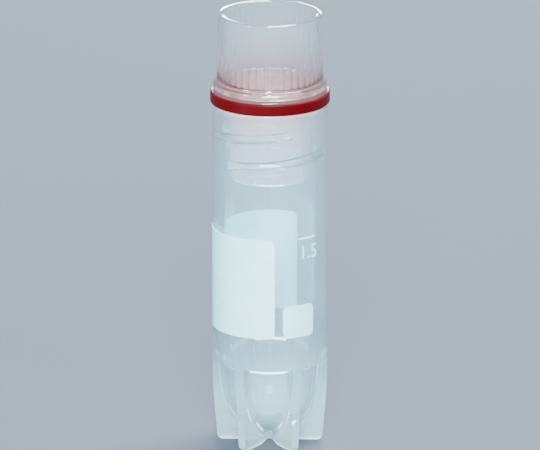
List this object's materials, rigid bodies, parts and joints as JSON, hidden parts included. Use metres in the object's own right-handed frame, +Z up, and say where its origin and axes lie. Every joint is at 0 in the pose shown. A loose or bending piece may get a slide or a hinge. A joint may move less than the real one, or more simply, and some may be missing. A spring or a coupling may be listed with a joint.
{
  "type": "cryogenic storage vial",
  "caption": "Self-standing cryogenic vial with a star foot, a round-ended bore, an inside-thread screw cap with a fluted grip, and a silicone washer under the cap's flange.",
  "frame": {"origin": "on the vial's axis, at the level of the surface that the star foot stands on", "axes": "+Z up along the vial's axis towards the cap; -Y towards the side with the edge of the writing patch and the graduation"},
  "size_m": [0.013, 0.013, 0.0481],
  "materials": {
    "clear_vial_plastic": "clear, faintly milky moulded polypropylene with a smooth gloss",
    "clear_cap_plastic": "clear, faintly milky moulded polypropylene with a smooth gloss",
    "red_silicone": "dark red moulded silicone with a soft sheen",
    "white_ink": "thin white screen-printed ink, satin"
  },
  "bodies": {
    "vial_body": {"vial": "clear_vial_plastic", "printed_marks": "white_ink"},
    "washer_body": {"sealing_washer": "red_silicone"},
    "cap_body": {"screw_cap": "clear_cap_plastic"}
  },
  "joints": [
    {"name": "cap_rise", "type": "slide", "parent": "vial_body", "child": "washer_body", "axis": [0, 0, 1], "range_m": [0, 0.0093]},
    {"name": "cap_turn", "type": "hinge", "parent": "washer_body", "child": "cap_body", "pos_m": [0, 0, 0.0383], "axis": [0, 0, 1], "range_deg": [0, 1080]}
  ],
  "couplings": [
    {"joint": "cap_turn", "follows": "cap_rise", "rad_per_m": 2026.8}
  ]
}
